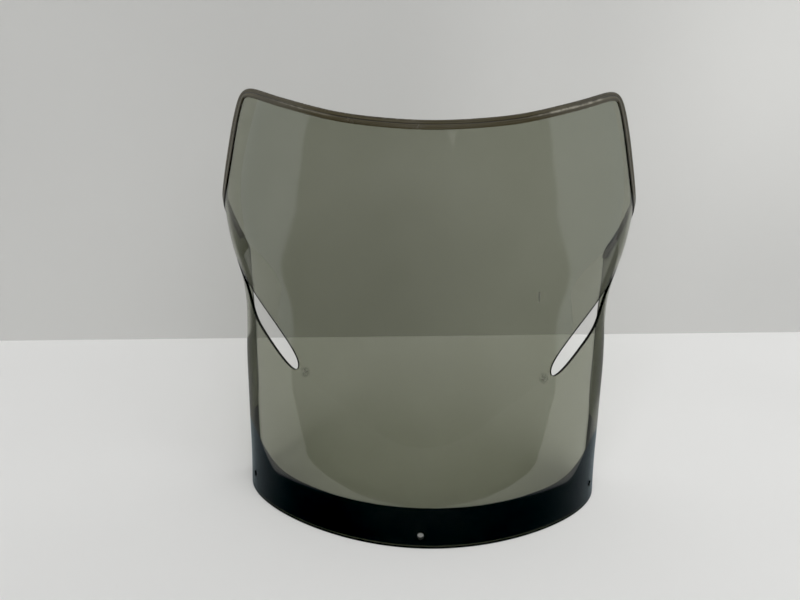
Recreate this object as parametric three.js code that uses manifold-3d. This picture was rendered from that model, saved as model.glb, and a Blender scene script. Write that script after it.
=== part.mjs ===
// Motorcycle windshield screen: a smoked, thermoformed U-shaped sheet with two
// slanted side vents, an opaque band behind its lower edge and a push-on
// U-channel trim round the upper edge.
//
// Units are millimetres, +Z up. The screen's front faces -Y and right means +X.
// The outer shape is symmetric about X = 0; only the trim's ends differ. The
// origin is the middle of the sheet's thickness at the front centre of its flat
// bottom edge, which rests on Z = 0.
//
// A place on the sheet is given as [section angle in degrees, height].
import * as THREE from "three";
import { mergeVertices } from "three/addons/utils/BufferGeometryUtils.js";
import Module from "manifold-3d";

// ------------------------------------------------------------ driving sizes
const SHEET = 3.0; // sheet thickness
const GAP = 0.3; // clearance between neighbouring pieces

// Every horizontal section is a rounded U, x = W sin(a), y = D (1 - cos(a)),
// with a small third harmonic that squares it. Half width W and wrap depth D
// are uniform cubic B-splines over height, one control value every LEVEL_STEP,
// starting one step below Z = 0.
const LEVEL_STEP = 35;
const HALF_WIDTH = [
  182.9, 182.9, 183.1, 185.3, 186.8, 189.1, 188.3, 191.9, 207.5, 215.6, 221.6,
  221.4, 218.0, 214.1, 210.9,
];
const WRAP_DEPTH = [
  120.5, 120.3, 118.2, 116.1, 113.9, 111.4, 108.8, 106.5, 104.8, 104.0, 104.0,
  104.3, 104.9, 105.4, 106.0,
];
const SQUARE_X = 0.027; // third harmonic's share of W
const SQUARE_Y = -0.015; // and of D
const LEAN = 0.2; // rearward lean of the front centre line at the bottom
const LEAN_GROWTH = 0.00028; // centre line's rearward shift per mm of height squared

// Offsets from the front face are horizontal below the first height and follow
// the true normal above the second, so that the bottom edge is one flat face.
const FLAT_OFFSET_TOP = 6;
const TRUE_OFFSET_FROM = 30;

// Right half of the sheet's outline as spline control points [angle, height]:
// up the rear edge, round the wing, over the raised corner and along the dipped
// top edge to the centre line.
const OUTLINE = [
  [95.6, 0], [95.63, 18.8], [95.62, 37.26], [95.42, 55.16], [95.81, 72.37],
  [97.45, 89.23], [98.01, 106.13], [97.8, 123.42], [97.58, 141.04],
  [96.7, 158.98], [95.68, 176.65], [95.36, 192.24], [96.11, 205.25],
  [99.03, 217.76], [102.34, 229.75], [103.2, 238.35], [101.68, 246.13],
  [97.87, 258.76], [93.89, 273.08], [89.66, 283.32], [83.93, 291.52],
  [78.6, 299.96], [75.09, 310.11], [72.7, 322.64], [71.0, 337.0],
  [70.14, 353.55], [69.49, 371.99], [68.56, 387.39], [67.14, 396.51],
  [64.59, 401.38], [60.8, 402.94], [55.67, 400.48], [49.0, 395.22],
  [41.69, 389.8], [34.55, 384.37], [27.78, 379.38], [21.1, 375.88],
  [14.13, 373.48], [7.12, 371.75], [0, 370.95],
];
const CENTRE_T = OUTLINE.length - 1; // outline parameter at the centre line
const CORNER_T = 28.88; // and at the raised corner

// Right-hand vent: closed loop of spline control points [angle, height],
// clockwise seen from the front.
const VENT = [
  [79.79, 231.82], [78.85, 226.16], [76.69, 218.21], [73.86, 208.48],
  [71.25, 197.89], [69.16, 187.6], [66.12, 179.03], [61.33, 171.15],
  [56.7, 163.6], [52.73, 156.3], [48.91, 149.1], [45.84, 144.08],
  [43.64, 142.07], [42.37, 143.23], [42.04, 146.89], [42.46, 151.85],
  [44.4, 159.2], [47.74, 168.07], [51.18, 175.9], [54.72, 183.36],
  [58.85, 191.19], [63.24, 198.99], [67.44, 206.41], [71.25, 213.45],
  [74.97, 221.39], [77.77, 229.1], [79.0, 232.27],
];
const VENT_SAMPLES = 2; // loop points per control point
const VENT_OVERSHOOT = 6; // the cutter's reach beyond each face of the sheet
const VENT_FLAT_SCALE = 2.5; // rough mm per degree, for triangulating the loop

const HOLE_DIAMETER = 6.0;
const HOLES = [[0, 11], [71.5, 18], [-71.5, 18]]; // fixing holes [angle, height]
const HOLE_CUTTER_LENGTH = 16;
const HOLE_SEGMENTS = 20;

// Opaque band on the back face. Its top line is a spline of heights over the
// section angle, one control value every BAND_STEP degrees from -BAND_STEP.
const BAND_STEP = 5;
const BAND_TOP = [
  35.5, 35.5, 35.5, 35.5, 35.5, 35.6, 35.9, 36.2, 36.9, 37.7, 38.5, 40.2, 43.8,
  50, 57.6, 65.5, 70, 71, 71, 71, 71, 71, 71,
];
const BAND_FOOT = 1.0; // clear margin left along the bottom edge
const BAND_THICKNESS = 0.4;
const BAND_SIDE = 0.992; // how far round the sheet the band reaches
const BAND_ROWS = 4; // mesh divisions up the band

const TRIM_WALL = 1.0;
const TRIM_FIT = 0.4; // clearance between the sheet and the channel's legs
const TRIM_LEG = 9.5; // depth of the channel over the sheet's edge, in front
const TRIM_BACK_LEG = 7.6; // and behind
const TRIM_END_RIGHT = 14.2; // outline parameter where the trim stops
const TRIM_END_LEFT = 16.1;

const COLUMNS = 42; // mesh divisions across the sheet
const ROWS = 27; // mesh divisions up the sheet
const HALF_COLUMNS = COLUMNS / 2;

// Spacing of the mesh along the outline.
const OUTLINE_SAMPLES = 900;
const BEND_PULL = 30; // how strongly bends draw the stations together
const BEND_LIMIT = 0.12; // sharpest bend counted, radians per mm

// ------------------------------------------------------------------ splines
// Weight of a uniform cubic B-spline control at a signed distance from it.
function splineWeight(offset) {
  const x = Math.abs(offset);
  if (x < 1) return 2 / 3 - x * x + (x * x * x) / 2;
  return x < 2 ? (2 - x) ** 3 / 6 : 0;
}
function splineValue(controls, t) {
  const first = Math.max(0, Math.floor(t) - 1);
  const last = Math.min(controls.length - 1, Math.floor(t) + 2);
  let sum = 0;
  for (let i = first; i <= last; i++) sum += controls[i] * splineWeight(t - i);
  return sum;
}
// The same for [angle, height] controls, fetched by index.
function splinePlace(controlAt, t) {
  let angle = 0;
  let z = 0;
  for (let i = Math.floor(t) - 1; i <= Math.floor(t) + 2; i++) {
    const weight = splineWeight(t - i);
    const control = controlAt(i);
    angle += weight * control[0];
    z += weight * control[1];
  }
  return [angle, z];
}

// ------------------------------------------------------------ sheet surface
function frontPoint(angle, z) {
  const a = THREE.MathUtils.degToRad(angle);
  const level = z / LEVEL_STEP + 1;
  const width = splineValue(HALF_WIDTH, level);
  const depth = splineValue(WRAP_DEPTH, level);
  const centreY = LEAN * z + LEAN_GROWTH * z * z - SHEET / 2;
  const wrap = 1 - Math.cos(a) - SQUARE_Y * (Math.cos(a) - Math.cos(3 * a));
  return new THREE.Vector3(
    (width * (Math.sin(a) - SQUARE_X * Math.sin(3 * a))) / (1 + SQUARE_X),
    centreY + depth * wrap,
    z,
  );
}
// Change of the front point per degree and per mm of height.
function slopes(angle, z) {
  const step = 0.02;
  const slope = (ahead, behind) => ahead.sub(behind).divideScalar(2 * step);
  return [
    slope(frontPoint(angle + step, z), frontPoint(angle - step, z)),
    slope(frontPoint(angle, z + step), frontPoint(angle, z - step)),
  ];
}
// Unit normal of the front face, pointing out of it.
function normalAt(angle, z) {
  const [perDegree, perHeight] = slopes(angle, z);
  return perDegree.cross(perHeight).normalize();
}
// A point at a distance outside the front face; negative goes into the sheet.
function offsetPoint(angle, z, distance) {
  const normal = normalAt(angle, z);
  const tilt = THREE.MathUtils.smoothstep(z, FLAT_OFFSET_TOP, TRUE_OFFSET_FROM);
  const direction = new THREE.Vector3(normal.x, normal.y, normal.z * tilt).normalize();
  return frontPoint(angle, z).addScaledVector(direction, distance / direction.dot(normal));
}

// ------------------------------------------------------------ sheet outline
// Outline control, extrapolated below the start and mirrored past the centre.
function outlineControl(i) {
  if (i < 0) {
    const [start, next] = OUTLINE;
    return [2 * start[0] - next[0], 2 * start[1] - next[1]];
  }
  if (i > CENTRE_T) {
    const [angle, z] = OUTLINE[2 * CENTRE_T - i];
    return [-angle, z];
  }
  return OUTLINE[i];
}
const outline = (t) => splinePlace(outlineControl, t);

// Outline parameters at `count` + 1 stations from `start` to `end`, closer
// together where the outline bends.
function stations(start, end, count) {
  const parameter = (sample) => start + ((end - start) * sample) / OUTLINE_SAMPLES;
  const points = [];
  for (let i = 0; i <= OUTLINE_SAMPLES; i++) points.push(frontPoint(...outline(parameter(i))));

  const travel = [0]; // bend-weighted length up to each sample
  for (let i = 1; i <= OUTLINE_SAMPLES; i++) {
    const step = points[i].clone().sub(points[i - 1]);
    let bend = 0;
    if (i > 2) {
      const before = points[i - 1].clone().sub(points[i - 2]);
      bend = before.angleTo(step) / before.length();
    }
    travel.push(travel[i - 1] + step.length() * (1 + BEND_PULL * Math.min(bend, BEND_LIMIT)));
  }

  const found = [start];
  let sample = 0;
  for (let k = 1; k < count; k++) {
    const target = (travel[OUTLINE_SAMPLES] * k) / count;
    while (travel[sample + 1] < target) sample++;
    const part = (target - travel[sample]) / (travel[sample + 1] - travel[sample]);
    found.push(parameter(sample + part));
  }
  found.push(end);
  return found;
}
const sideStations = stations(0, CORNER_T, ROWS);
const topStations = stations(CORNER_T, CENTRE_T, HALF_COLUMNS); // corner to centre

// --------------------------------------------------------------- sheet grid
const sidePlaces = sideStations.map(outline);
const topPlaces = topStations.map(outline).reverse(); // centre to corner
const [cornerAngle, cornerZ] = outline(CORNER_T);

// Place of grid node (column, row), column = -HALF_COLUMNS..HALF_COLUMNS and
// row = 0..ROWS, blended between the centre line, the side and the top edge.
function gridNode(column, row) {
  const across = column / HALF_COLUMNS;
  const up = row / ROWS;
  const [sideAngle, sideZ] = sidePlaces[row];
  const [topAngle, topZ] = topPlaces[Math.abs(column)];
  return [
    across * sideAngle + up * (Math.sign(column) * topAngle - across * cornerAngle),
    sideZ + up * (topZ - cornerZ),
  ];
}
const mix = (a, b, part) => [a[0] + (b[0] - a[0]) * part, a[1] + (b[1] - a[1]) * part];
// The same for a fractional column and row.
function gridPlace(column, row) {
  const left = Math.floor(column);
  const below = Math.floor(row);
  const onColumn = (i) => mix(gridNode(i, below), gridNode(i, below + 1), row - below);
  return mix(onColumn(left), onColumn(left + 1), column - left);
}

// ------------------------------------------------------------ mesh building
function indexedGeometry(positions, indices) {
  const result = new THREE.BufferGeometry();
  result.setAttribute("position", new THREE.BufferAttribute(positions, 3));
  result.setIndex(indices);
  result.computeVertexNormals();
  return result;
}
function geometry(points, faces) {
  const positions = new Float32Array(points.flatMap((p) => [p.x, p.y, p.z]));
  return indexedGeometry(positions, faces.flat());
}
const quad = (a, b, c, d) => [[a, b, c], [a, c, d]];
// Corners of a grid cell. The first one starts the facets' diagonal, which
// mirrors about the centre line.
function cellCorners(i, j, onLeft) {
  const corners = [[i, j], [i + 1, j], [i + 1, j + 1], [i, j + 1]];
  if (onLeft) corners.push(corners.shift());
  return corners;
}

// Closed sheet between two grids of points, front[i][j] and back[i][j].
function closedSheet(front, back) {
  const columns = front.length;
  const rows = front[0].length;
  const endI = columns - 1;
  const endJ = rows - 1;
  const F = (i, j) => i * rows + j; // vertex index in front
  const B = (i, j) => columns * rows + F(i, j); // and behind
  const faces = [];
  for (let i = 0; i < endI; i++) {
    for (let j = 0; j < endJ; j++) {
      const [a, b, c, d] = cellCorners(i, j, i < endI / 2);
      faces.push(...quad(F(...a), F(...b), F(...c), F(...d)));
      faces.push(...quad(B(...a), B(...d), B(...c), B(...b)));
    }
  }
  for (let i = 0; i < endI; i++) {
    faces.push(...quad(F(i, 0), B(i, 0), B(i + 1, 0), F(i + 1, 0)));
    faces.push(...quad(F(i, endJ), F(i + 1, endJ), B(i + 1, endJ), B(i, endJ)));
  }
  for (let j = 0; j < endJ; j++) {
    faces.push(...quad(F(0, j), F(0, j + 1), B(0, j + 1), B(0, j)));
    faces.push(...quad(F(endI, j), B(endI, j), B(endI, j + 1), F(endI, j + 1)));
  }
  return geometry([...front.flat(), ...back.flat()], faces);
}

const wasm = await Module();
wasm.setup();
function toSolid(source) {
  const bare = source.clone();
  for (const name of Object.keys(bare.attributes)) {
    if (name !== "position") bare.deleteAttribute(name);
  }
  const merged = mergeVertices(bare, 1e-4);
  return new wasm.Manifold(
    new wasm.Mesh({
      numProp: 3,
      vertProperties: new Float32Array(merged.attributes.position.array),
      triVerts: new Uint32Array(merged.index.array),
    }),
  );
}
// Geometry of a piece with solid cutters taken out of it.
function cut(piece, cutters) {
  const solid = cutters.reduce((rest, cutter) => rest.subtract(cutter), toSolid(piece));
  const mesh = solid.getMesh();
  return indexedGeometry(new Float32Array(mesh.vertProperties), Array.from(mesh.triVerts));
}

// ------------------------------------------------------------ cutting tools
// The vent's outline, pushed out and in along the sheet's own normals.
// `side` is 1 for the right vent and -1 for the left.
function ventCutter(side) {
  const controlAt = (i) => VENT[(i + VENT.length) % VENT.length];
  const count = VENT.length * VENT_SAMPLES;
  const loop = [];
  for (let k = 0; k < count; k++) loop.push(splinePlace(controlAt, k / VENT_SAMPLES));
  loop.reverse(); // counter-clockwise seen from the front
  const flat = loop.map(([angle, z]) => new THREE.Vector2(angle * VENT_FLAT_SCALE, z));
  const ring = (distance) => loop.map(([angle, z]) => offsetPoint(side * angle, z, distance));
  const points = [...ring(VENT_OVERSHOOT), ...ring(-SHEET - VENT_OVERSHOOT)];

  const faces = [];
  for (const [a, b, c] of THREE.ShapeUtils.triangulateShape(flat, [])) {
    faces.push([a, b, c], [count + a, count + c, count + b]);
  }
  for (let k = 0; k < count; k++) {
    const next = (k + 1) % count;
    faces.push([k, count + k, count + next], [k, count + next, next]);
  }
  if (side < 0) faces.forEach((face) => face.reverse()); // mirroring turns them inside out
  return toSolid(geometry(points, faces));
}
function holeCutter([angle, z]) {
  const radius = HOLE_DIAMETER / 2;
  const cylinder = new THREE.CylinderGeometry(radius, radius, HOLE_CUTTER_LENGTH, HOLE_SEGMENTS);
  const normal = normalAt(angle, z);
  const axis = new THREE.Vector3(0, 1, 0);
  cylinder.applyQuaternion(new THREE.Quaternion().setFromUnitVectors(axis, normal));
  cylinder.translate(...frontPoint(angle, z).addScaledVector(normal, -SHEET / 2));
  return toSolid(cylinder);
}

// ------------------------------------------------------------------- pieces
function screenPanel() {
  const front = [];
  const back = [];
  for (let i = -HALF_COLUMNS; i <= HALF_COLUMNS; i++) {
    const places = sidePlaces.map((_, row) => gridNode(i, row));
    front.push(places.map(([angle, z]) => offsetPoint(angle, z, 0)));
    back.push(places.map(([angle, z]) => offsetPoint(angle, z, -SHEET)));
  }
  const cutters = [ventCutter(1), ventCutter(-1), ...HOLES.map(holeCutter)];
  return cut(closedSheet(front, back), cutters);
}

// Row of a column at which the sheet reaches heightAt(angle), by bisection.
function rowAtHeight(column, heightAt) {
  let low = 0;
  let high = ROWS;
  for (let step = 0; step < 50; step++) {
    const middle = (low + high) / 2;
    const [angle, z] = gridPlace(column, middle);
    if (z < heightAt(angle)) low = middle;
    else high = middle;
  }
  return low;
}
function lowerBand() {
  const footAt = () => BAND_FOOT;
  const topAt = (angle) => splineValue(BAND_TOP, Math.abs(angle) / BAND_STEP + 1);
  const front = [];
  const back = [];
  for (let i = -HALF_COLUMNS; i <= HALF_COLUMNS; i++) {
    const column = Math.abs(i) === HALF_COLUMNS ? i * BAND_SIDE : i;
    const foot = rowAtHeight(column, footAt);
    const top = rowAtHeight(column, topAt);
    const places = [];
    for (let j = 0; j <= BAND_ROWS; j++) {
      places.push(gridPlace(column, foot + ((top - foot) * j) / BAND_ROWS));
    }
    const layer = (distance) => places.map(([angle, z]) => offsetPoint(angle, z, distance));
    front.push(layer(-SHEET - GAP));
    back.push(layer(-SHEET - GAP - BAND_THICKNESS));
  }
  return cut(closedSheet(front, back), HOLES.map(holeCutter));
}

// The channel's section at outline parameter t, as a ring of eight points:
// 0 to 3 run over its outside from front to back, 4 to 7 return inside it.
function trimRing(t, side) {
  const [angle, z] = outline(t);
  const [perDegree, perHeight] = slopes(angle, z);
  const step = 0.01;
  const ahead = frontPoint(...outline(t + step));
  const tangent = ahead.sub(frontPoint(...outline(t - step))).normalize();
  const inward = normalAt(angle, z).cross(tangent).normalize();
  const outside = GAP + TRIM_WALL; // from the sheet's edge to the channel's outer face

  // The place where a leg ends: `inward` resolved along the two slopes.
  const a = perDegree.dot(perDegree);
  const b = perDegree.dot(perHeight);
  const c = perHeight.dot(perHeight);
  const legEnd = (leg) => {
    const x = inward.dot(perDegree) * (leg - outside);
    const y = inward.dot(perHeight) * (leg - outside);
    const determinant = a * c - b * b;
    return [angle + (c * x - b * y) / determinant, z + (a * y - b * x) / determinant];
  };
  const frontEnd = legEnd(TRIM_LEG);
  const backEnd = legEnd(TRIM_BACK_LEG);
  const beyondEdge = (distance, out) =>
    offsetPoint(angle, z, distance).addScaledVector(inward, -out);
  const near = TRIM_FIT;
  const far = TRIM_FIT + TRIM_WALL;
  const ring = [
    offsetPoint(...frontEnd, far),
    beyondEdge(far, outside),
    beyondEdge(-SHEET - far, outside),
    offsetPoint(...backEnd, -SHEET - far),
    offsetPoint(...backEnd, -SHEET - near),
    beyondEdge(-SHEET - near, GAP),
    beyondEdge(near, GAP),
    offsetPoint(...frontEnd, near),
  ];
  for (const point of ring) point.x *= side;
  return ring;
}
// Rings from one end of the trim to the centre line, on the sheet's edge nodes.
function trimRun(end, side) {
  const edge = [...sideStations, ...topStations.slice(1)];
  const next = edge.findIndex((t) => t > end);
  const part = (end - edge[next - 1]) / (edge[next] - edge[next - 1]);
  const before = trimRing(edge[next - 1], side);
  const rings = edge.slice(next).map((t) => trimRing(t, side));
  return [before.map((point, k) => point.lerp(rings[0][k], part)), ...rings];
}
function edgeTrim() {
  const left = trimRun(TRIM_END_LEFT, -1);
  const right = trimRun(TRIM_END_RIGHT, 1).reverse().slice(1); // shares the centre ring
  const rings = [...left, ...right];
  const size = rings[0].length;
  const last = rings.length - 1;
  const faces = [];
  for (let r = 0; r < last; r++) {
    for (let k = 0; k < size; k++) {
      const corners = cellCorners(r, k, r < left.length - 1);
      faces.push(...quad(...corners.map(([ring, i]) => ring * size + (i % size))));
    }
  }
  // End caps: front leg, bridge and back leg.
  const cap = [[0, 1, 6, 7], [1, 2, 5, 6], [2, 3, 4, 5]].flatMap((q) => quad(...q));
  faces.push(...cap);
  for (const face of cap) faces.push(face.map((k) => last * size + k).reverse());
  return geometry(rings.flat(), faces);
}

// ---------------------------------------------------------------- materials
const smoked = new THREE.MeshStandardMaterial({
  color: 0x6e7066,
  roughness: 0.06,
  metalness: 0,
  transparent: true,
  opacity: 0.72,
});
const opaqueBlack = new THREE.MeshStandardMaterial({
  color: 0x05060a,
  roughness: 0.25,
  metalness: 0,
});
const trimBrown = new THREE.MeshStandardMaterial({
  color: 0x4a4638,
  roughness: 0.35,
  metalness: 0,
});

// ----------------------------------------------------------------- assembly
const screen = new THREE.Group();
screen.name = "windshield_screen";
function add(name, shape, material) {
  const mesh = new THREE.Mesh(shape, material);
  mesh.name = name;
  screen.add(mesh);
}
add("screen_panel", screenPanel(), smoked);
add("lower_band", lowerBand(), opaqueBlack);
add("edge_trim", edgeTrim(), trimBrown);

export default screen;
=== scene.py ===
"""A smoked clear screen: a curved sheet with two slanted vents, a black band behind its
foot and a channel trim round its upper edge.

It stands on z = 0 and leans back a little. The front looks towards -Y, and both sides wrap
back towards +Y. The three pieces are worked out in millimetres; the stage and the places
that materials read are in metres. A point on the sheet is given as (angle, height): degrees
round the U from the middle of the front, positive towards +X, and millimetres up.
"""
import math

import bmesh
import bpy
import numpy as np
from mathutils import Matrix, Vector
from mathutils.geometry import delaunay_2d_cdt


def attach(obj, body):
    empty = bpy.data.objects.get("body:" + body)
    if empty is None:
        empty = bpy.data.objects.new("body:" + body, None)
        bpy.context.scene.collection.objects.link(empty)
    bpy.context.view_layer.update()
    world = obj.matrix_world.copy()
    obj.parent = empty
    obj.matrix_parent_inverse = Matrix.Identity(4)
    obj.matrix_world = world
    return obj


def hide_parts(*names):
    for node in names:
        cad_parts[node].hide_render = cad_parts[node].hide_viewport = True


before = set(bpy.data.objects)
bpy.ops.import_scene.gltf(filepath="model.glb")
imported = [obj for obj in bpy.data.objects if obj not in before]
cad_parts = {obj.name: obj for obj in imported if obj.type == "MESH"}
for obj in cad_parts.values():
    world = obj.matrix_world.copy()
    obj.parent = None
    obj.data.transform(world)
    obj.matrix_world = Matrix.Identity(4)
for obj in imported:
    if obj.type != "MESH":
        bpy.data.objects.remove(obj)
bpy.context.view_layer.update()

FINE = 0.72  # scales every mesh step

# ------------------------------------------------------------ dimensions, mm
SHEET = 3.0
SHEET_ROUND = 0.45  # radius along the sheet's cut edges

# Rounded-U sections; half width and wrap depth are cubic B-splines over height.
LEVEL_STEP = 35.0
HALF_WIDTH = [
    182.9, 182.9, 183.1, 185.3, 186.8, 189.1, 188.3, 191.9,
    207.5, 215.6, 221.6, 221.4, 218.0, 214.1, 210.9]
WRAP_DEPTH = [
    120.5, 120.3, 118.2, 116.1, 113.9, 111.4, 108.8, 106.5,
    104.8, 104.0, 104.0, 104.3, 104.9, 105.4, 106.0]
SQUARE_X, SQUARE_Y = 0.027, -0.015  # how far the U departs from an ellipse
LEAN, LEAN_GROWTH = 0.2, 0.00028  # backward lean, and its growth with height
FLAT_BELOW, FLAT_EASE = 6.0, 24.0  # offsets are level below this, then ease out over this

# Spline controls (angle, height) of the right edge, from the foot to the top centre.
OUTLINE = np.array([
    [95.6, 0], [95.63, 18.8], [95.62, 37.26], [95.42, 55.16], [95.81, 72.37],
    [97.45, 89.23], [98.01, 106.13], [97.8, 123.42], [97.58, 141.04], [96.7, 158.98],
    [95.68, 176.65], [95.36, 192.24], [96.11, 205.25], [99.03, 217.76], [102.34, 229.75],
    [103.2, 238.35], [101.68, 246.13], [97.87, 258.76], [93.89, 273.08], [89.66, 283.32],
    [83.93, 291.52], [78.6, 299.96], [75.09, 310.11], [72.7, 322.64], [71.0, 337.0],
    [70.14, 353.55], [69.49, 371.99], [68.56, 387.39], [67.14, 396.51], [64.59, 401.38],
    [60.8, 402.94], [55.67, 400.48], [49.0, 395.22], [41.69, 389.8], [34.55, 384.37],
    [27.78, 379.38], [21.1, 375.88], [14.13, 373.48], [7.12, 371.75], [0, 370.95]])
FOOT_CORNER = 4.0  # length cut off each edge at the two bottom rear corners

# Closed spline controls (angle, height) of the right vent.
VENT = np.array([
    [79.79, 231.82], [78.85, 226.16], [76.69, 218.21], [73.86, 208.48], [71.25, 197.89],
    [69.16, 187.6], [66.12, 179.03], [61.33, 171.15], [56.7, 163.6], [52.73, 156.3],
    [48.91, 149.1], [45.84, 144.08], [43.64, 142.07], [42.37, 143.23], [42.04, 146.89],
    [42.46, 151.85], [44.4, 159.2], [47.74, 168.07], [51.18, 175.9], [54.72, 183.36],
    [58.85, 191.19], [63.24, 198.99], [67.44, 206.41], [71.25, 213.45], [74.97, 221.39],
    [77.77, 229.1], [79.0, 232.27]])

HOLE_RADIUS = 3.0
HOLES = [(0.0, 11.0), (71.5, 18.0), (-71.5, 18.0)]  # angle, height
SCUFFS = [(39.3, 142.2), (-39.3, 142.2)]  # angle, height, beside the vents' lower ends

# Spline controls of the band's upper edge: heights at every BAND_STEP degrees.
BAND_STEP = 5.0
BAND_TOP = [
    35.5, 35.5, 35.5, 35.5, 35.5, 35.6, 35.9, 36.2, 36.9, 37.7, 38.5, 40.2,
    43.8, 50, 57.6, 65.5, 70, 71, 71, 71, 71, 71, 71]
BAND_FOOT = 1.0
BAND_END = 0.992 * OUTLINE[0][0]  # degrees
BAND_FRONT = -SHEET - 0.3  # a small gap behind the sheet
BAND_THICK = 0.4
BAND_ROUND = 0.12
BAND_HOLE_CLEARANCE = 0.15

# The trim's section: (distance inwards from the sheet's edge, distance outside its
# front face, corner radius).
TRIM_SECTION = [
    (8.2, 0.08, 0.08), (8.2, 0.32, 0.2), (7.3, 0.95, 1.0), (5.8, 1.3, 2.4), (4.1, 1.26, 0.7),
    (3.3, 1.0, 0.35), (2.5, 1.34, 0.7), (0.9, 1.5, 2.2), (-1.3, 1.34, 1.5), (-1.3, -1.5, 0),
    (-1.3, -4.34, 1.5), (0.9, -4.48, 2.2), (2.3, -4.34, 0.6), (3.0, -4.05, 0.35),
    (3.7, -4.28, 0.6), (4.7, -4.3, 1.0), (5.7, -3.95, 0.8), (6.3, -3.36, 0.2),
    (6.3, -3.08, 0.08), (5.6, -3.1, 0.3), (5.0, -3.4, 0.3), (3.0, -3.4, 1),
    (-0.3, -3.35, 0.4), (-0.3, 0.35, 0.4), (4.0, 0.4, 1), (6.8, 0.4, 0.3), (7.4, 0.08, 0.3)]
TRIM_ENDS = (14.2, 16.1)  # where it stops on the right and left, in rows of OUTLINE


# --------------------------------------------------------------- the surface
def cubic_basis(offset):
    away = np.abs(offset)
    near_part = 2 / 3 - away * away + away ** 3 / 2
    return np.where(away < 1, near_part, np.where(away < 2, (2 - away) ** 3 / 6, 0.0))


def spline(controls, position):
    return sum(value * cubic_basis(position - i) for i, value in enumerate(controls))


def unit(vectors):
    return vectors / np.linalg.norm(vectors, axis=-1, keepdims=True)


def face(points):
    """Places on the front face for (angle, height) points."""
    points = np.asarray(points, float)
    turn, height = np.radians(points[..., 0]), points[..., 1]
    half_width = spline(HALF_WIDTH, height / LEVEL_STEP + 1)
    depth = spline(WRAP_DEPTH, height / LEVEL_STEP + 1)
    x = half_width * (np.sin(turn) - SQUARE_X * np.sin(3 * turn)) / (1 + SQUARE_X)
    wrap = 1 - np.cos(turn) - SQUARE_Y * (np.cos(turn) - np.cos(3 * turn))
    y = LEAN * height + LEAN_GROWTH * height * height - SHEET / 2 + depth * wrap
    return np.stack([x, y, height], -1)


def slopes(points):
    """How the place on the face moves per degree and per millimetre of height."""
    step = 0.02
    around = (face(points + [step, 0]) - face(points - [step, 0])) / (2 * step)
    upward = (face(points + [0, step]) - face(points - [0, step])) / (2 * step)
    return around, upward


def normal(points):
    return unit(np.cross(*slopes(points)))


def outside(points, distance):
    """Places at a distance outside the front face.

    Near the bottom the offset turns horizontal, so the foot stays flat.
    """
    outward = normal(points)
    ease = np.clip((points[..., 1] - FLAT_BELOW) / FLAT_EASE, 0, 1)
    ease = ease * ease * (3 - 2 * ease)
    direction = outward.copy()
    direction[..., 2] *= ease
    direction = unit(direction)
    reach = distance / np.sum(direction * outward, -1)
    return face(points) + direction * reach[..., None]


def travelled(places):
    """Distance covered along a line of places."""
    return np.concatenate([[0], np.cumsum(np.linalg.norm(np.diff(places, axis=0), axis=1))])


# An almost isometric chart: arc length round the middle section, and height.
CHART_HEIGHT = 190.0
CHART_ANGLES = np.linspace(-112, 112, 4481)
CHART_ARCS = travelled(
    face(np.stack([CHART_ANGLES, np.full_like(CHART_ANGLES, CHART_HEIGHT)], -1)))
CHART_ARCS -= np.interp(0, CHART_ANGLES, CHART_ARCS)


def to_chart(points):
    return np.stack([np.interp(points[..., 0], CHART_ANGLES, CHART_ARCS), points[..., 1]], -1)


def from_chart(charted):
    arcs = charted[..., 0]
    return np.stack([np.interp(arcs, CHART_ARCS, CHART_ANGLES), charted[..., 1]], -1)


# --------------------------------------------------------------------- loops
def resample(points, step, pull, closed=True):
    """Points along a dense curve, about step mm apart and closer where it bends."""
    max_turn, window = 0.2, 9
    path = np.vstack([points, points[:1]]) if closed else points
    legs = np.diff(face(path), axis=0)
    headings = unit(legs + 1e-12)
    turns = np.zeros(len(legs))
    turns[1:] = np.linalg.norm(np.diff(headings, axis=0), axis=1)
    weights = np.linalg.norm(legs, axis=1) + pull * np.minimum(turns, max_turn)
    padded = np.pad(weights, window // 2, mode="wrap" if closed else "edge")
    weights = np.convolve(padded, np.ones(window) / window, "valid")
    total = np.concatenate([[0], np.cumsum(weights)])
    count = max(8, int(round(total[-1] / step)))
    wanted = np.linspace(0, total[-1], count + 1)
    if closed:
        wanted = wanted[:-1]
    return np.stack([np.interp(wanted, total, path[:, column]) for column in (0, 1)], -1)


def edge_directions(points, closed=True):
    """Unit vectors into the material, which lies on the curve's left, and face normals."""
    places = face(points)
    if closed:
        along = np.roll(places, -1, 0) - np.roll(places, 1, 0)
    else:
        along = np.gradient(places, axis=0)
    outward = normal(points)
    return unit(np.cross(outward, unit(along))), outward


def inset(points, distance, closed=True):
    """The curve moved into the material, within the surface."""
    inward, _ = edge_directions(points, closed)
    around, upward = slopes(points)
    around_sq = (around * around).sum(1)
    mixed = (around * upward).sum(1)
    upward_sq = (upward * upward).sum(1)
    x = (inward * around).sum(1) * distance
    y = (inward * upward).sum(1) * distance
    det = around_sq * upward_sq - mixed * mixed
    move = [(upward_sq * x - mixed * y) / det, (around_sq * y - mixed * x) / det]
    return points + np.stack(move, -1)


OUTLINE_END = len(OUTLINE) - 1
OUTLINE_CONTROLS = np.vstack(
    [2 * OUTLINE[0] - OUTLINE[1], OUTLINE, OUTLINE[OUTLINE_END - 1] * [-1, 1]])


def outline(position):
    """Points on the right edge; position counts rows of OUTLINE."""
    weights = [cubic_basis(position - (i - 1)) for i in range(len(OUTLINE_CONTROLS))]
    return np.stack(weights, -1) @ OUTLINE_CONTROLS


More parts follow.
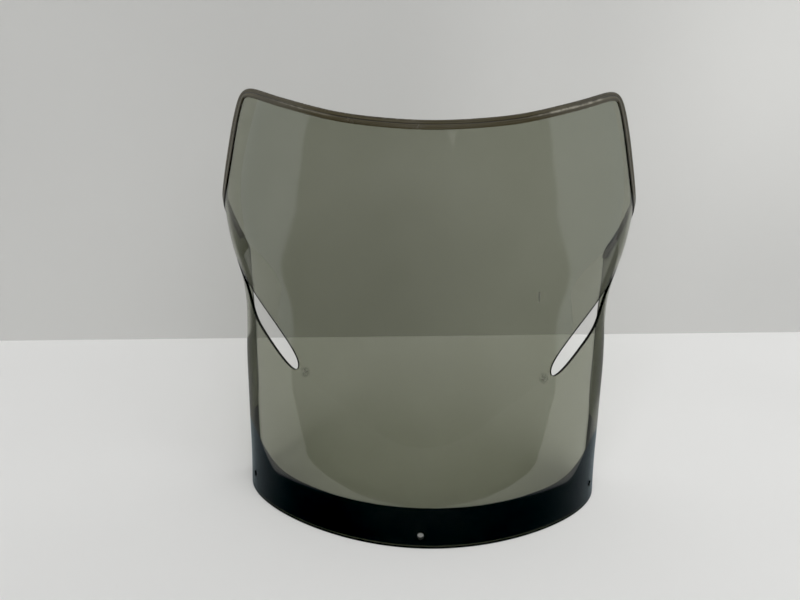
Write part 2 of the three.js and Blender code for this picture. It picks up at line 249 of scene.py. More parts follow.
def outer_loop():
    """The whole edge, counterclockwise as seen from the front."""
    right = outline(np.linspace(0, OUTLINE_END, 5200))
    corner = right[0]
    corner_end = int(np.searchsorted(travelled(face(right)), FOOT_CORNER))
    mm_per_degree = np.linalg.norm(slopes(corner)[0])
    start = np.array([corner[0] - FOOT_CORNER / mm_per_degree, 0.0])
    blend = np.linspace(0, 1, 60)[:, None]
    bend = ((1 - blend) ** 2 * start + 2 * blend * (1 - blend) * corner
            + blend ** 2 * right[corner_end])
    bottom = np.stack([np.linspace(0, start[0], 900)[:-1], np.zeros(899)], -1)
    half = np.vstack([bottom, bend[:-1], right[corner_end:]])  # bottom to top centre
    return np.vstack([half, half[1:-1][::-1] * [-1, 1]])


def vent_loop(side):
    """A vent's edge, clockwise, so that the material is on its left."""
    count = len(VENT)
    position = np.linspace(0, count, 3000, endpoint=False)
    points = np.zeros((len(position), 2))
    for i in range(-3, count + 3):
        points += cubic_basis(position - i)[..., None] * VENT[i % count]
    points[:, 0] *= side
    x, y = to_chart(points).T
    area = 0.5 * np.sum(x * np.roll(y, -1) - np.roll(x, -1) * y)
    return points[::-1] if area > 0 else points


def hole_loop(centre, radius, count):
    """A round hole, clockwise."""
    turn = -np.linspace(0, 2 * np.pi, count, endpoint=False)
    around, upward = slopes(np.array(centre))
    right = unit(around)
    up = unit(upward - (upward @ right) * right)
    to_plane = np.array([[around @ right, upward @ right], [around @ up, upward @ up]])
    circle = np.stack([np.cos(turn), np.sin(turn)]) * radius
    return np.linalg.solve(to_plane, circle).T + centre


def band_loop():
    """The band's edge, with a slightly wavy upper line."""
    angles = np.linspace(-BAND_END, BAND_END, 1400)
    top = spline(BAND_TOP, np.abs(angles) / BAND_STEP + 1)
    waves = [(0.05, 2.3), (0.04, 1.1), (0.03, 0.6)]  # height mm, length in degrees / 2 pi
    phases = np.random.default_rng(7).uniform(0, 6, 3)
    wobble = sum(tall * np.sin(angles / long + phase)
                 for (tall, long), phase in zip(waves, phases))
    upper = np.stack([angles, top + wobble], -1)[::-1]
    lower = np.stack([angles, np.full_like(angles, BAND_FOOT)], -1)
    heights = np.linspace(BAND_FOOT, top[-1], 60)[1:-1]
    side = np.stack([np.full_like(heights, BAND_END), heights], -1)
    return np.vstack([lower, side, upper, (side * [-1, 1])[::-1]])


# -------------------------------------------------------------------- meshes
def inside(polygon, points):
    """Which points lie inside a closed polygon."""
    result = np.zeros(len(points), bool)
    x, y = points[:, 0], points[:, 1]
    for (x0, y0), (x1, y1) in zip(polygon, np.roll(polygon, -1, 0)):
        if y0 == y1:
            continue
        result ^= ((y0 > y) != (y1 > y)) & (x < (x1 - x0) * (y - y0) / (y1 - y0) + x0)
    return result


def in_region(charts, points):
    """Which points lie inside the first loop and outside the others."""
    keep = inside(charts[0], points)
    for chart in charts[1:]:
        keep &= ~inside(chart, points)
    return keep


def triangulate(loops, step):
    """(points, triangles, vertex ids of each loop) for the region between the loops."""
    charts = [to_chart(loop) for loop in loops]
    points, edges, ids = [], [], []
    for chart in charts:
        first, count = len(points), len(chart)
        points += list(chart)
        edges += [(first + i, first + (i + 1) % count) for i in range(count)]
        ids.append(np.arange(first, first + count))

    # a triangular grid of inner points, clear of the loops
    lo, hi = charts[0].min(0), charts[0].max(0)
    count = int((hi[0] - lo[0]) / step) + 2
    grid = []
    for row, height in enumerate(np.arange(lo[1] + step * 0.5, hi[1], step * 0.866)):
        arcs = (np.arange(-count // 2, count // 2 + 1) + 0.5 * (row % 2)) * step
        grid.append(np.stack([arcs, np.full_like(arcs, height)], -1))
    grid = np.vstack(grid)
    grid = grid[in_region(charts, grid)]
    rim = np.vstack(charts)
    nearest = np.full(len(grid), 1e9)
    for i in range(0, len(rim), 200):  # in batches, to save memory
        gaps = np.linalg.norm(grid[:, None] - rim[None, i:i + 200], axis=2)
        nearest = np.minimum(nearest, gaps.min(1))
    points += list(grid[nearest > step * 0.55])

    verts, _, faces, origins, _, _ = delaunay_2d_cdt(
        [Vector(point) for point in points], edges, [], 0, 1e-7)
    verts = np.array([tuple(vert) for vert in verts])
    new_index = {old: new for new, group in enumerate(origins) for old in group}
    faces = np.array([corners for corners in faces if len(corners) == 3])
    faces = faces[in_region(charts, verts[faces].mean(1))]
    area = np.cross(verts[faces[:, 1]] - verts[faces[:, 0]],
                    verts[faces[:, 2]] - verts[faces[:, 0]])
    faces[area < 0] = faces[area < 0][:, ::-1]
    used = np.unique(faces)
    packed = -np.ones(len(verts), int)
    packed[used] = np.arange(len(used))
    ids = [packed[np.array([new_index[i] for i in group])] for group in ids]
    result = from_chart(verts[used])
    for loop, group in zip(loops, ids):
        result[group] = loop
    return result, packed[faces], ids


def build(name, places, faces, attributes, normals=None, slots=None):
    """A smooth-shaded object from places in millimetres."""
    mesh = bpy.data.meshes.new(name)
    mesh.from_pydata([tuple(place) for place in places / 1000.0], [],
                     [tuple(int(i) for i in corners) for corners in faces])
    mesh.validate()
    mesh.polygons.foreach_set("use_smooth", [True] * len(mesh.polygons))
    if slots is not None:
        mesh.polygons.foreach_set("material_index", slots)
    for key, values in attributes.items():
        attribute = mesh.attributes.new(key, "FLOAT", "POINT")
        attribute.data.foreach_set("value", np.asarray(values, np.float32))
    if normals is not None:
        mesh.normals_split_custom_set_from_vertices([tuple(vector) for vector in normals])
    mesh.update()
    return add_object(name, mesh)


def add_object(name, data):
    item = bpy.data.objects.new(name, data)
    bpy.context.scene.collection.objects.link(item)
    return item


def marks(points):
    """Places on the sheet in millimetres, which the materials can read."""
    places = face(points)

    def nearest(centres):
        return np.min([np.linalg.norm(places - face(c), axis=1) for c in centres], axis=0)

    return {"scuff_mm": nearest(SCUFFS), "hole_mm": nearest(HOLES),
            "arc_mm": to_chart(points)[:, 0], "height_mm": points[:, 1]}


def sheet(name, loops, front, back, radius, step, arc):
    """A closed curved sheet between two depths, with rounded edges of arc steps a quarter.

    The faces get slot 0 and the cut edges slot 1.
    """
    points, triangles, ids = triangulate([inset(loop, radius) for loop in loops], step)
    outward = normal(points)
    places = [outside(points, front), outside(points, back)]
    normals = [outward, -outward]
    all_points = [points, points]
    faces = [triangles, triangles[:, ::-1] + len(points)]
    slots = [np.zeros(len(triangles) * 2, int)]
    base = 2 * len(points)
    # (depth of the rounding's centre, angle turned from the front normal)
    quarter = math.pi / 2
    profile = [(front - radius, quarter * i / arc) for i in range(1, arc + 1)]
    profile += [(back + radius, quarter + quarter * i / arc) for i in range(arc)]
    for loop, group in zip(loops, ids):
        inward, outward = edge_directions(loop)
        rings = [group]
        for centre, turn in profile:
            distance = radius - radius * math.sin(turn)
            ring = inset(loop, distance) if distance > 1e-9 else loop
            places.append(outside(ring, centre + radius * math.cos(turn)))
            normals.append(unit(outward * math.cos(turn) - inward * math.sin(turn)))
            all_points.append(ring)
            rings.append(np.arange(base, base + len(loop)))
            base += len(loop)
        rings.append(group + len(points))
        for near, far in zip(rings[:-1], rings[1:]):
            # material lies on the loop's left, so this order faces out of it
            faces.append(np.stack([near, far, np.roll(far, -1), np.roll(near, -1)], -1))
            slots.append(np.ones(len(loop), int))
    return build(name, np.vstack(places), [corners for part in faces for corners in part],
                 marks(np.vstack(all_points)), np.vstack(normals),
                 np.concatenate(slots).tolist())


def smoked_sheet():
    loops = [resample(outer_loop(), 2.2 * FINE, pull=18)]
    loops += [resample(vent_loop(side), 1.6 * FINE, pull=10) for side in (1, -1)]
    loops += [hole_loop(centre, HOLE_RADIUS, count=36) for centre in HOLES]
    return sheet("smoked_sheet", loops, front=0.0, back=-SHEET, radius=SHEET_ROUND,
                 step=4.2 * FINE, arc=4)


def black_band():
    loops = [resample(band_loop(), 2.6 * FINE, pull=6)]
    loops += [hole_loop(centre, HOLE_RADIUS + BAND_HOLE_CLEARANCE, count=32)
              for centre in HOLES]
    return sheet("black_band", loops, front=BAND_FRONT, back=BAND_FRONT - BAND_THICK,
                 radius=BAND_ROUND, step=4.6 * FINE, arc=2)


def fillet(corners, steps):
    """A closed polygon with its corners (x, y, radius) rounded, in steps a quarter turn."""
    result = []
    points = np.array(corners, float)[:, :2]
    for i, (point, (_, _, radius)) in enumerate(zip(points, corners)):
        before = unit(points[i - 1] - point)
        after = unit(points[(i + 1) % len(points)] - point)
        half = math.acos(max(-1, min(1, float(before @ after)))) / 2
        if radius <= 0 or half > 1.55:  # sharp, or almost straight
            result.append(point)
            continue
        cut = radius / math.tan(half)
        centre = point + unit(before + after) * (radius / math.sin(half))
        start, end = point + before * cut - centre, point + after * cut - centre
        first = math.atan2(start[1], start[0])
        sweep = math.atan2(end[1], end[0]) - first
        sweep = (sweep + math.pi) % (2 * math.pi) - math.pi
        count = max(2, int(math.ceil(abs(sweep) / (math.pi / 2) * steps)))
        for j in range(count + 1):
            turn = first + sweep * j / count
            result.append(centre + radius * np.array([math.cos(turn), math.sin(turn)]))
    return np.array(result)


def channel_trim():
    """The channel swept from the right end over the top to the left end."""
    section = fillet(TRIM_SECTION, 5)
    right, left = (outline(np.linspace(end, OUTLINE_END, 4000)) for end in TRIM_ENDS)
    path = np.vstack([right, (left * [-1, 1])[::-1][1:]])
    path = resample(path, 2.0 * FINE, pull=26, closed=False)
    inward, _ = edge_directions(path, closed=False)
    lines = []
    for distance, depth in section:
        if distance > 0:
            lines.append(outside(inset(path, distance, closed=False), depth))
        else:
            lines.append(outside(path, depth) + inward * distance)
    stations, count = len(path), len(section)

    def vertex(station, corner):
        return station * count + corner % count

    faces = [(vertex(i, j), vertex(i + 1, j), vertex(i + 1, j + 1), vertex(i, j + 1))
             for i in range(stations - 1) for j in range(count)]
    faces.append([vertex(0, j) for j in range(count)])
    faces.append([vertex(stations - 1, j) for j in range(count)][::-1])
    attributes = {"run_mm": np.repeat(travelled(face(path)), count),
                  "inward_mm": np.tile(section[:, 0], stations),
                  "out_mm": np.tile(section[:, 1], stations)}
    piece = build("channel_trim", np.stack(lines, 1).reshape(-1, 3), faces, attributes)
    flatten_caps(piece.data)
    return piece


def flatten_caps(mesh):
    """Make the many-sided end faces flat and sharp-edged, and cut them into triangles."""
    work = bmesh.new()
    work.from_mesh(mesh)
    caps = [cap for cap in work.faces if len(cap.verts) > 4]
    for cap in caps:
        cap.smooth = False
        for edge in cap.edges:
            edge.smooth = False
    bmesh.ops.triangulate(work, faces=caps, ngon_method="EAR_CLIP")
    bmesh.ops.recalc_face_normals(work, faces=work.faces)
    work.to_mesh(mesh)
    work.free()


# -------------------------------------------------------------- shader tools
class Value:
    """A node's output. Arithmetic on it adds Math nodes."""

    def __init__(self, net, socket):
        self.net = net
        self.socket = socket

    def __add__(self, other):
        return self.net.math("ADD", self, other)

    def __radd__(self, other):
        return self.net.math("ADD", other, self)

    def __sub__(self, other):
        return self.net.math("SUBTRACT", self, other)

    def __rsub__(self, other):
        return self.net.math("SUBTRACT", other, self)

    def __mul__(self, other):
        return self.net.math("MULTIPLY", self, other)

    def __truediv__(self, other):
        return self.net.math("DIVIDE", self, other)

    def __rtruediv__(self, other):
        return self.net.math("DIVIDE", other, self)

    def __pow__(self, other):
        return self.net.math("POWER", self, other)

    def __rpow__(self, other):
        return self.net.math("POWER", other, self)

    def __abs__(self):
        return self.net.math("ABSOLUTE", self)

    def at_least(self, other):
        return self.net.math("MAXIMUM", self, other)

    def at_most(self, other):
        return self.net.math("MINIMUM", self, other)

    def ramp(self, start, end, low=0.0, high=1.0, curve="SMOOTHSTEP"):
        """Goes from low to high while this value goes from start to end."""
        return self.net.value("MapRange", [self, start, end, low, high],
                              interpolation_type=curve)


class Net:
    """Adds nodes to an emptied node tree. Inputs are a list, or keyed by name or index."""

    def __init__(self, owner):
        owner.use_nodes = True
        self.tree = owner.node_tree
        self.tree.nodes.clear()

    def node(self, kind, inputs=(), **settings):
        node = self.tree.nodes.new("ShaderNode" + kind)
        for key, setting in settings.items():
            setattr(node, key, setting)
        if not isinstance(inputs, dict):
            inputs = dict(enumerate(inputs))
        for key, given in inputs.items():
            if isinstance(given, Value):
                self.tree.links.new(given.socket, node.inputs[key])
            else:
                node.inputs[key].default_value = given
        return node

    def value(self, kind, inputs=(), output=0, **settings):
        return Value(self, self.node(kind, inputs, **settings).outputs[output])

    def values(self, kind, inputs=()):
        """All of a node's outputs, by name."""
        return {socket.name: Value(self, socket) for socket in self.node(kind, inputs).outputs}

    def math(self, operation, *operands):
        return self.value("Math", operands, operation=operation)

    def noise(self, vector, scale, detail=3.0, rough=0.55):
        return self.value("TexNoise", {"Vector": vector, "Scale": scale, "Detail": detail,
                                       "Roughness": rough}, "Fac")

    def attribute(self, name):
        return self.value("Attribute", output="Fac", attribute_name=name)

    def position(self):
        return self.value("TexCoord", output="Object")

    def mix(self, amount, base, over):
        return self.value("Mix", {"Factor": amount, "A": base, "B": over}, "Result",
                          data_type="RGBA")

    def bump(self, height, distance, strength, under=None):
        inputs = {"Strength": strength, "Distance": distance, "Height": height}
        if under is not None:
            inputs["Normal"] = under
        return self.value("Bump", inputs)

    def principled(self, inputs):
        return self.value("BsdfPrincipled", inputs)

    def mix_shader(self, amount, base, over):
        return self.value("MixShader", [amount, base, over])


def new_material(name):
    material = bpy.data.materials.new(name)
    return material, Net(material)


# ----------------------------------------------------------------- materials
TINT = (0.368, 0.380, 0.312)  # what is left of red, green and blue through the sheet
SHEET_IOR = 1.49


def smoked_material():
    material, net = new_material("smoked_polished_sheet")
    position = net.position()
    geometry = net.values("NewGeometry")
    backfacing = geometry["Backfacing"]
    facing = abs(net.value("VectorMath", [geometry["Incoming"], geometry["Normal"]], "Value",
                           operation="DOT_PRODUCT"))
    # the cosine inside the sheet, on the way in and on the way out
    sine_squared = 1.0 - facing * facing
    bent = (1.0 - sine_squared * (1 / SHEET_IOR ** 2)).at_least(0.3)
    inside_cosine = net.math("SQRT", bent)
    cosine = backfacing * facing.at_least(0.6) + (1.0 - backfacing) * inside_cosine
    # longer paths are darker, and the thickness drifts a little
    drift = net.noise(position, scale=9.0, detail=2.0)
    path = 1.0 / cosine * drift.ramp(start=0.3, end=0.7, low=0.97, high=1.03)
    # painted shade: the tint deepens at the foot, where the sheet meets what it stands on
    path = path * net.attribute("height_mm").ramp(start=1.5, end=0.9, low=1.0, high=2.2)
    tint = net.value("CombineColor", [channel ** path for channel in TINT])

    # faint smears and hairline scratches
    smear = net.noise(position, scale=16.0, detail=4.0, rough=0.6).ramp(start=0.52, end=0.8)
    stretched = net.value("Mapping", {"Vector": position, "Scale": (900, 900, 22),
                                      "Rotation": (0.5, 0.2, 0.3)})
    scratch = net.noise(stretched, scale=1.0, detail=1.0).ramp(start=0.70, end=0.78)
    patches = net.noise(position, scale=30.0, detail=2.0)
    scratch = scratch * patches.ramp(start=0.5, end=0.7)
    blot = net.noise(position, scale=420.0, rough=0.7).ramp(start=0.36, end=0.62)
    scuff = net.attribute("scuff_mm").ramp(start=6.5, end=1.5) * blot
    # one short deep scratch, and one faint dried run below the top edge
    at = net.values("SeparateXYZ", [position])
    x, z = at["X"], at["Z"]
    nick_x, nick_z, run_x = 0.1052, 0.2152, 0.0219
    nick = (abs(x - nick_x).ramp(start=0.0010, end=0.0004)
            * abs(z - nick_z).ramp(start=0.0052, end=0.0038))
    run_width = z.ramp(start=0.344, end=0.368, low=0.0008, high=0.0055)
    run_cloud = net.noise(position, scale=60.0, detail=2.0)
    dried = ((abs(x - run_x) / run_width).ramp(start=1.0, end=0.5)
             * (z.ramp(start=0.343, end=0.352)
                * run_cloud.ramp(start=0.25, end=0.6, low=0.5, high=1.0)))
    scuff = scuff.at_least(nick)

    polish = 0.012  # roughness of the clean sheet
    rough = polish + (smear * 0.02 + scratch * 0.12) + scuff * 0.35
    wave = net.bump(net.noise(position, scale=14.0, detail=1.0), distance=0.0006,
                    strength=0.35)
    relief = net.bump(scratch * -0.5 + scuff * 0.8, distance=0.00004, strength=0.6, under=wave)
    clear = net.principled({"Base Color": tint, "Roughness": rough, "Normal": relief,
                            "IOR": SHEET_IOR, "Transmission Weight": 1.0})
    # the scuffs are a thin matt skin, and the dried run a paler film
    matt = net.principled({"Base Color": (0.055, 0.055, 0.045, 1), "Roughness": 0.55})
    film = net.principled({"Base Color": (0.5, 0.5, 0.46, 1), "Roughness": 0.7})
    skinned = net.mix_shader(amount=scuff * 0.45, base=clear, over=matt)
    coated = net.mix_shader(amount=dried * 0.045, base=skinned, over=film)

    # light passes through tinted, and less of it the more it grazes the sheet
    straight_through, grazing_loss, grazing_power = 0.92, 0.9, 5.0
    through = straight_through - (1.0 - facing) ** grazing_power * grazing_loss
    half_path = 0.5 / inside_cosine
    shade = net.value("CombineColor", [through * channel ** half_path for channel in TINT])
    shadow = net.value("BsdfTransparent", {"Color": shade})
    is_shadow = net.value("LightPath", output="Is Shadow Ray")
    surface = net.mix_shader(amount=is_shadow, base=coated, over=shadow)
    net.node("OutputMaterial", {"Surface": surface})
    return material


def edge_material():
    """The cut edge: dense tint seen end on, with fine marks across it."""
    material, net = new_material("cut_edge_dark")
    position = net.position()
    squeezed = net.value("Mapping", {"Vector": position, "Scale": (1400, 1400, 500)})
    lines = net.noise(squeezed, scale=1.0, detail=2.0)
    colour = net.mix(amount=lines.ramp(start=0.35, end=0.75),
                     base=(0.0012, 0.0014, 0.001, 1), over=(0.006, 0.0065, 0.005, 1))
    rough = net.noise(position, scale=300.0).ramp(start=0.3, end=0.7, low=0.22, high=0.42)
    surface = net.principled({
        "Base Color": colour, "Roughness": rough, "Specular IOR Level": 0.16,
        "Normal": net.bump(lines, distance=0.00003, strength=0.5)})
    net.node("OutputMaterial", {"Surface": surface})
    return material


def band_material():
    material, net = new_material("black_band_layer")
    position = net.position()
    cloud = net.noise(position, scale=35.0, detail=4.0)
    base = net.mix(amount=cloud.ramp(start=0.3, end=0.75),
                   base=(0.0016, 0.0036, 0.0085, 1), over=(0.0030, 0.0058, 0.0120, 1))
    # worn spots round the holes
    worn = (net.attribute("hole_mm").ramp(start=5.6, end=3.4)
            * net.noise(position, scale=700.0).ramp(start=0.45, end=0.7))
    base = net.mix(amount=worn * 0.5, base=base, over=(0.03, 0.032, 0.035, 1))
    rough = net.noise(position, scale=60.0, detail=4.0)
    rough = rough.ramp(start=0.3, end=0.7, low=0.3, high=0.46) + worn * 0.2
    grain = net.bump(net.noise(position, scale=240.0), distance=0.00002, strength=0.2)
    surface = net.principled({"Base Color": base, "Roughness": rough, "Normal": grain,
                              "Specular IOR Level": 0.3})
    net.node("OutputMaterial", {"Surface": surface})
    return material


def trim_material():
    material, net = new_material("channel_trim_plastic")
    position = net.position()
    run, inward, out = (net.attribute(key) for key in ("run_mm", "inward_mm", "out_mm"))

    def drawn_out(along, across):
        """Texture places stretched along the trim."""
        return net.value("CombineXYZ", [run * along, inward * across, out * across])

    # extrusion lines over a patchy ground
    lines = net.noise(drawn_out(along=0.012, across=1.6), scale=1.0, detail=4.0, rough=0.6)
    patch = net.noise(position, scale=9.0, detail=2.0)
    base = net.mix(amount=patch.ramp(start=0.3, end=0.7),
                   base=(0.036, 0.0312, 0.0185, 1), over=(0.045, 0.0385, 0.0225, 1))
    base = net.mix(amount=lines.ramp(start=0.42, end=0.7) * 0.6, base=base,
                   over=(0.078, 0.069, 0.043, 1))
    base = net.mix(amount=lines.ramp(start=0.48, end=0.3) * 0.5, base=base,
                   over=(0.015, 0.014, 0.009, 1))
    # darker along the groove between the two beads
    groove_middle, highlight_middle = 3.3, 4.1  # mm inwards
    groove = abs(inward - groove_middle).ramp(start=0.7, end=0.15)
    base = net.mix(amount=groove * 0.75, base=base, over=(0.012, 0.011, 0.008, 1))
    # paler along the rounded outer bend: partly rubbed wear, which also roughens it, and partly a
    # painted highlight where the bend catches the light
    rub_and_highlight = net.noise(position, scale=90.0, detail=4.0, rough=0.65)
    corner = inward.ramp(start=0.9, end=-0.9) * rub_and_highlight.ramp(start=0.42, end=0.7)
    base = net.mix(amount=corner * 0.3, base=base, over=(0.10, 0.091, 0.078, 1))
    # painted highlight: pale streaks along the upper bead near the two raised corners, where the
    # window light glints, fainter on the left
    x = net.values("SeparateXYZ", [position])["X"]
    right = x.ramp(start=0.085, end=0.125) * x.ramp(start=0.19, end=0.155)
    left = x.ramp(start=-0.17, end=-0.14) * x.ramp(start=-0.075, end=-0.11)
    painted_highlight = abs(inward - highlight_middle).ramp(start=1.9, end=0.3) * (right + left * 0.3)
    mottle = net.noise(position, scale=110.0, detail=4.0)
    painted_highlight = painted_highlight * (lines.ramp(start=0.3, end=0.6, low=0.25, high=1.0)
                       * mottle.ramp(start=0.35, end=0.6, low=0.35, high=1.0))
    fibre = net.noise(drawn_out(along=0.05, across=5.0), scale=1.0, rough=0.6)
    painted_highlight = painted_highlight * fibre.ramp(start=0.35, end=0.6, low=0.3, high=1.0)
    base = net.mix(amount=painted_highlight * 0.95, base=base, over=(0.33, 0.31, 0.25, 1))
    base = net.mix(amount=fibre.ramp(start=0.45, end=0.3) * 0.35, base=base,
                   over=(0.010, 0.009, 0.006, 1))
    # painted shade: a dark shadow line along the inner lip at the two sides; and dark specks
    painted_lip_shade = (inward.ramp(start=6.2, end=7.6)
           * abs(x).ramp(start=0.182, end=0.2, low=0.0, high=0.92))
    base = net.mix(amount=painted_lip_shade, base=base, over=(0.004, 0.004, 0.003, 1))
    speck = net.noise(position, scale=420.0, detail=2.0).ramp(start=0.74, end=0.78)
    base = net.mix(amount=speck * 0.8, base=base, over=(0.006, 0.006, 0.005, 1))

    rough = net.noise(position, scale=45.0, detail=4.0)
    rough = rough.ramp(start=0.3, end=0.7, low=0.16, high=0.28) + corner * 0.18
    relief = net.bump(lines, distance=0.00012, strength=0.35)
    relief = net.bump(net.noise(position, scale=900.0), distance=0.00004, strength=0.4,
                      under=relief)
    surface = net.principled({"Base Color": base, "Roughness": rough, "Normal": relief,
                              "IOR": 1.5})
    net.node("OutputMaterial", {"Surface": surface})
    return material


# ---------------------------------------------------------- the stage, metres
FLOOR_Z = -0.0003
FLOOR_HALF = 9
WALL_Y, WALL_TURN = 0.603, 0.107  # the wall stands a little askew behind the screen
WALL_ENDS = (-3.5, 5.5)
WALL_TOP = 3.0
FLOOR_COLOUR = (0.775, 0.775, 0.772)
WALL_COLOUR = (0.440, 0.440, 0.432)
DEGREES = 180 / math.pi
GAP_SOFTNESS = 1.2  # degrees either side of the unlit gap's edge


def plane(name, corners):
    mesh = bpy.data.meshes.new(name)
    mesh.from_pydata(corners, [], [(0, 1, 2, 3)])
    item = add_object(name, mesh)
    return item


def reflected(path):
    """1 on a ray that has been mirrored by the object.

    0 on the camera's direct or see-through rays and on the room's own light.
    """
    bounced = path["Glossy Depth"].at_most(1.0)
    going = path["Is Reflection Ray"].at_least(path["Is Transmission Ray"])
    soft = 1.0 - (path["Is Diffuse Ray"] + path["Diffuse Depth"]).at_most(1.0)
    return bounced * going * soft


def azimuth_of(x, y):
    """The angle of a direction from -Y towards +X, in radians."""
    return x.net.math("ARCTAN2", x, y * -1.0)


def beyond_gap(x, y, z):
    """Degrees by which a direction lies outside the unlit gap in front of the screen."""
    turned = abs(azimuth_of(x, y)) * DEGREES
    half = (z.ramp(start=0.36, end=0.0, low=56.5, high=69.0, curve="LINEAR")
            + z.ramp(start=0.5, end=0.62, low=0.0, high=2.5))
    half = half + z.ramp(start=-0.11, end=-0.20, low=0.0, high=-7.0, curve="LINEAR")
    return turned - half


def stage_ground(net):
    """Position, its x, y, z, and a faint uneven brightness."""
    position = net.position()
    uneven = net.noise(position, scale=1.3, detail=2.0)
    uneven = uneven.ramp(start=0.3, end=0.7, low=0.985, high=1.015)
    return position, net.values("SeparateXYZ", [position]).values(), uneven


def stage_surface(net, position, colour, brightness, mirror, mirrored):
    """A matt surface whose brightness is multiplied by mirrored on mirrored rays."""
    brightness = brightness * (1.0 + mirror * (mirrored - 1.0))
    scaled = net.value("VectorMath", {0: colour, "Scale": brightness}, operation="SCALE")
    grain = net.bump(net.noise(position, scale=260.0), distance=0.0002, strength=0.15)
    return net.principled({"Base Color": scaled, "Roughness": 0.8, "Normal": grain,
                           "Specular IOR Level": 0.1})


def floor_material():
    material, net = new_material("pale_floor")
    position, (x, y, _), brightness = stage_ground(net)
    # painted light: the floor is brighter towards +X and a little darker towards the back
    brightness = brightness * x.ramp(start=-0.1, end=0.35, low=1.0, high=1.07)
    brightness = brightness * y.ramp(start=0.05, end=0.45, low=1.0, high=0.955)
    path = net.values("LightPath")
    mirror = reflected(path)

    # what the curved sheet mirrors: the table as far as its front edge, then darkness
    # except out to the sides
    back = net.value("NewGeometry", output="Incoming")
    ray_x, ray_y, ray_z = (part * -1.0 for part in net.values("SeparateXYZ", [back]).values())
    front_edge = abs(x).ramp(start=0.09, end=0.33, low=-0.214, high=-0.105, curve="LINEAR")
    table = (y - front_edge).ramp(start=-0.006, end=0.006, low=0.03, high=1.0)
    gap = beyond_gap(ray_x, ray_y, ray_z)
    mirrored = table.at_least(gap.ramp(start=-GAP_SOFTNESS, end=GAP_SOFTNESS))
    turned = abs(azimuth_of(ray_x, ray_y)) * DEGREES
    mirrored = mirrored * turned.ramp(start=101, end=109, low=1.12, high=0.29)
    length = path["Ray Length"]
    side = (turned.ramp(start=112, end=118) * length.ramp(start=0.32, end=0.22)
            * ray_x.ramp(start=-0.2, end=0.2, low=0.0, high=0.75))
    mirrored = mirrored * (1.0 + side)

    # where the black layer backs the sheet, only the sheet's front face mirrors: find
    # the point that the ray left
    height = length * ray_z * -1.0
    across = abs(x - length * ray_x)
    layer_top = across.ramp(start=0.140, end=0.178, low=0.0375, high=0.070)
    layer = (height - layer_top).ramp(start=0.0015, end=-0.0015)
    near = turned.ramp(
        start=ray_x.ramp(start=-0.2, end=0.2, low=67.0, high=63.0), end=117,
        low=across.ramp(start=0.05, end=0.12, low=0.14, high=0.16), high=0.33)
    mirrored = mirrored * (1.0 - layer) + layer * near

    cooling = (0.86, 1.0, 1.16)
    cool = tuple(part * factor for part, factor in zip(FLOOR_COLOUR, cooling))
    colour = net.mix(amount=mirror * layer, base=(*FLOOR_COLOUR, 1), over=(*cool, 1))
    surface = stage_surface(net, position, colour, brightness, mirror, mirrored)
    net.node("OutputMaterial", {"Surface": surface})
    return material


def wall_material():
    """A wall that is seen only from its front side."""
    material, net = new_material("pale_wall")
    position, (x, _, z), brightness = stage_ground(net)
    # painted light: brighter up to the right, a little darker low on the far right, a little
    # brighter at the far left and higher up
    ground_tone = 0.935
    painted_wall_light = ground_tone + x.ramp(start=-0.08, end=0.2, low=0.0, high=0.09)
    painted_wall_light = painted_wall_light + (x.ramp(start=0.25, end=0.6, low=0.0, high=0.2)
                   * z.ramp(start=0.1, end=0.55))
    painted_wall_light = painted_wall_light + (x.ramp(start=0.4, end=0.65, low=0.0, high=-0.04)
                   * z.ramp(start=0.3, end=0.0))
    painted_wall_light = painted_wall_light + x.ramp(start=-0.25, end=-0.6, low=0.0, high=0.04)
    painted_wall_light = painted_wall_light * x.ramp(start=-0.08, end=0.15, low=0.985, high=1.01)
    painted_wall_light = painted_wall_light * z.ramp(start=0.0, end=0.5, low=0.965, high=0.985)
    mirror = reflected(net.values("LightPath"))
    far_left = z.ramp(start=0.02, end=0.36, low=0.40, high=1.35)
    mirrored = x.ramp(start=-0.6, end=-1.0, low=1.0, high=far_left)
    surface = stage_surface(net, position, WALL_COLOUR, brightness * painted_wall_light, mirror, mirrored)
    backfacing = net.value("NewGeometry", output="Backfacing")
    surface = net.mix_shader(amount=backfacing, base=surface,
                             over=net.value("BsdfTransparent"))
    net.node("OutputMaterial", {"Surface": surface})
    return material


def build_stage():
    half = FLOOR_HALF
    floor = plane("floor", [(-half, -half, FLOOR_Z), (half, -half, FLOOR_Z),
                            (half, half, FLOOR_Z), (-half, half, FLOOR_Z)])
    left, right = ((x, WALL_Y + WALL_TURN * x) for x in WALL_ENDS)
    wall = plane("backdrop", [(*left, FLOOR_Z), (*right, FLOOR_Z),
                              (*right, WALL_TOP), (*left, WALL_TOP)])
    floor.data.materials.append(floor_material())
    wall.data.materials.append(wall_material())


# --------------------------------------------------------------------- light
LIGHT = 1.165  # overall strength
ROOM = 0.22  # strength of the even room
# (from azimuth, to azimuth, lowest, highest, strength), in degrees: the window in front,
# its two dimmer parts to the right and the blind above
WINDOW = [(-34, 30, 8, 48, 3.0), (30, 64, 8, 48, 1.1), (64, 95, 5, 55, 0.6), (8, 80, 48, 68, 1.3)]
WINDOW_SOFTNESS = 3.0


def between(angle, low, high):
    """1 between two angles, with soft ends."""
    soft = WINDOW_SOFTNESS
    return (angle.ramp(start=low - soft, end=low + soft)
            * angle.ramp(start=high + soft, end=high - soft))


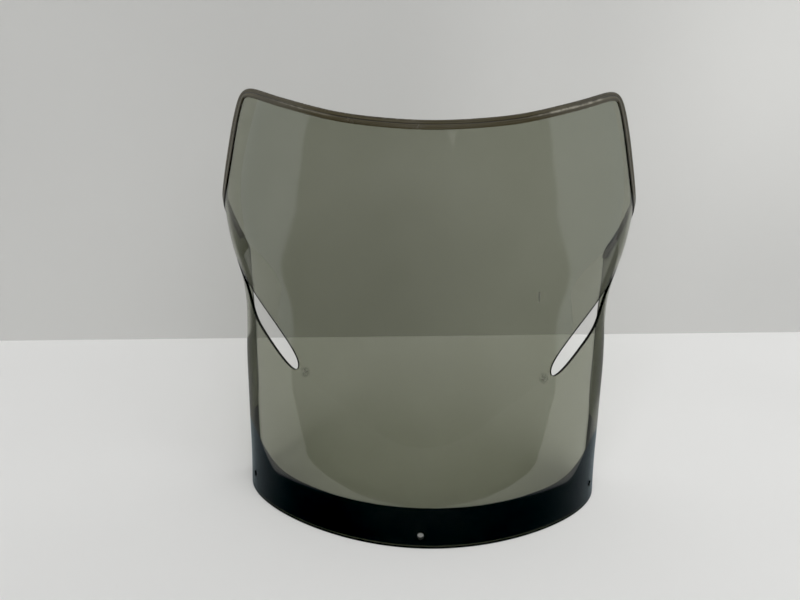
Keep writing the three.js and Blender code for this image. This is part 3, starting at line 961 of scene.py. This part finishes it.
def build_world():
    """Soft light from a large window at the front and right, over an even room."""
    world = bpy.data.worlds.new("studio")
    bpy.context.scene.world = world
    net = Net(world)
    direction = net.value("TexCoord", output="Generated")
    x, y, z = net.values("SeparateXYZ", [direction]).values()
    azimuth = azimuth_of(x, y) * DEGREES
    elevation = net.math("ARCSINE", z) * DEGREES
    lit = ROOM
    for start, end, low, high, strength in WINDOW:
        lit = lit + between(azimuth, start, end) * between(elevation, low, high) * strength
    lit = lit * LIGHT

    # what the sheet mirrors: an unlit gap in front, opening out near the horizon, and
    # a pale room round it
    beyond = beyond_gap(x, y, z).ramp(start=-GAP_SOFTNESS, end=GAP_SOFTNESS)
    room = beyond.at_least(z.ramp(start=0.78, end=0.86))
    room = room * azimuth.ramp(start=-82.0, end=-92.0, low=1.0, high=1.22)
    gap_strength, room_strength = 0.012, 0.66
    pattern = gap_strength + room * room_strength
    plain = z.ramp(start=-0.2, end=0.9, low=0.52, high=0.58)  # what is seen directly

    path = net.values("LightPath")
    mirror = reflected(path)
    direct = path["Is Camera Ray"].at_least(path["Is Transmission Ray"]) * (1.0 - mirror)
    rest = 1.0 - direct.at_least(mirror)
    strength = rest * lit + direct * plain + mirror * pattern
    colour = net.mix(amount=mirror, base=(1.0, 1.0, 0.992, 1), over=(0.94, 0.985, 1.05, 1))
    background = net.value("Background", {"Color": colour, "Strength": strength})
    net.node("OutputWorld", {"Surface": background})


# -------------------------------------------------------------------- camera
CAMERA_MM = (-5.326, -464.664, 355.0)
LENS, SENSOR = 27.0, 36.0
PITCH, TURN, ROLL = math.radians(15.0), math.radians(-1.93), math.radians(-0.70)
BLACK = 0.008  # the camera's black level


def build_camera():
    data = bpy.data.cameras.new("camera")
    data.sensor_width = SENSOR
    data.lens = LENS
    data.clip_start, data.clip_end = 0.02, 50
    camera = add_object("camera", data)
    forward = Vector((math.sin(TURN) * math.cos(PITCH), math.cos(TURN) * math.cos(PITCH),
                      -math.sin(PITCH)))
    level = Vector((math.cos(TURN), -math.sin(TURN), 0))
    upright = level.cross(forward)
    up = upright * math.cos(ROLL) + level * math.sin(ROLL)
    right = level * math.cos(ROLL) - upright * math.sin(ROLL)
    rotation = Matrix((right, up, -forward)).transposed().to_4x4()
    camera.matrix_world = Matrix.Translation(Vector(CAMERA_MM) / 1000) @ rotation
    bpy.context.scene.camera = camera


def set_view():
    view = bpy.context.scene.view_settings
    view.view_transform = "Standard"
    view.look = "None"
    view.use_curve_mapping = True
    view.curve_mapping.black_level = (BLACK, BLACK, BLACK)
    view.curve_mapping.update()


# ------------------------------------------------------------------ assembly
panel = smoked_sheet()
band = black_band()
trim = channel_trim()

cut_edge = edge_material()
paint = band_material()
PIECES = [
    # object, CAD node, slot, materials
    (panel, "screen_panel", "smoked_sheet", [smoked_material(), cut_edge]),
    (band, "lower_band", "black_band", [paint, paint]),
    (trim, "edge_trim", "trim", [trim_material()]),
]
for piece, node_name, slot_name, materials in PIECES:
    for item in materials:
        piece.data.materials.append(item)
    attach(piece, "root")
    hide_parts(node_name)

build_stage()
build_world()
build_camera()
set_view()
